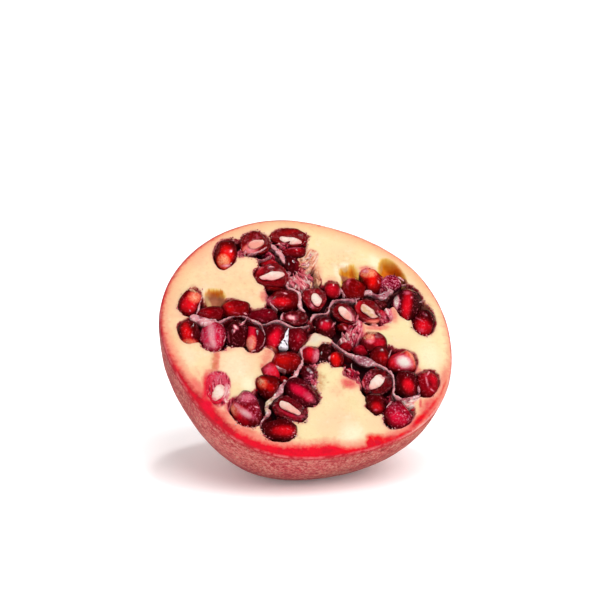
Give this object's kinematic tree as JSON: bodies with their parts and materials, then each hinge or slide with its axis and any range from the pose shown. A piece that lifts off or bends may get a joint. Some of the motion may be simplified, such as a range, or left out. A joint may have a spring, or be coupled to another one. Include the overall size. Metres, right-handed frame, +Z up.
{
  "type": "pomegranate half",
  "caption": "Half a pomegranate cut across, resting on its rind with the cut face tilted up to show arils, seeds, pith and membranes.",
  "frame": {"origin": "middle of the flat spot of rind that the half rests on", "axes": "+Z up; the cut face looks towards -Y and up, its normal 47 degrees above the table; +X is to the right seen from the front"},
  "size_m": [0.0879, 0.0766, 0.0722],
  "materials": {
    "husk": "waxy crimson rind outside, dull cream pith on the cut",
    "aril": "wet, glossy, see-through deep red",
    "cut_aril": "wet cut flesh, deep red at the edge and paler inside",
    "seed": "smooth, off-white to pale pink",
    "stem": "dry olive-brown bark with a paler cut end"
  },
  "bodies": {
    "root": {"husk": "husk", "stem_stub": "stem", "aril_upper_left_1": "aril", "aril_upper_left_2": "cut_aril", "seed_upper_left_2": "seed", "aril_upper_left_3": "aril", "aril_upper_left_4": "cut_aril", "seed_upper_left_4": "seed", "aril_upper_left_5": "aril", "aril_upper_left_6": "aril", "aril_upper_left_7": "aril", "aril_upper_left_8": "aril", "aril_upper_left_9": "cut_aril", "aril_upper_right_1": "cut_aril", "seed_upper_right_1": "seed", "aril_upper_right_2": "aril", "aril_upper_right_3": "aril", "aril_upper_right_4": "cut_aril", "seed_upper_right_4": "seed", "aril_upper_right_5": "aril", "aril_upper_right_6": "aril", "aril_upper_right_7": "aril", "aril_upper_right_8": "aril", "aril_right_1": "aril", "aril_right_2": "aril", "aril_right_3": "cut_aril", "seed_right_3": "seed", "aril_right_4": "cut_aril", "seed_right_4": "seed", "aril_right_5": "aril", "aril_right_6": "aril", "aril_right_7": "aril", "aril_right_8": "aril", "aril_right_9": "aril", "aril_right_10": "aril", "aril_bottom_1": "aril", "aril_bottom_2": "aril", "aril_bottom_3": "aril", "aril_bottom_4": "aril", "aril_bottom_5": "cut_aril", "seed_bottom_5": "seed", "aril_bottom_6": "aril", "aril_bottom_7": "aril", "aril_bottom_8": "aril", "aril_bottom_9": "cut_aril", "seed_bottom_9": "seed", "aril_bottom_10": "aril", "aril_left_1": "aril", "aril_left_2": "aril", "aril_left_3": "aril", "aril_left_4": "aril", "aril_left_5": "cut_aril", "seed_left_5": "seed", "aril_left_6": "aril", "aril_left_7": "aril", "aril_left_8": "aril", "aril_left_9": "aril", "aril_left_10": "aril", "aril_left_11": "aril"}
  },
  "joints": []
}
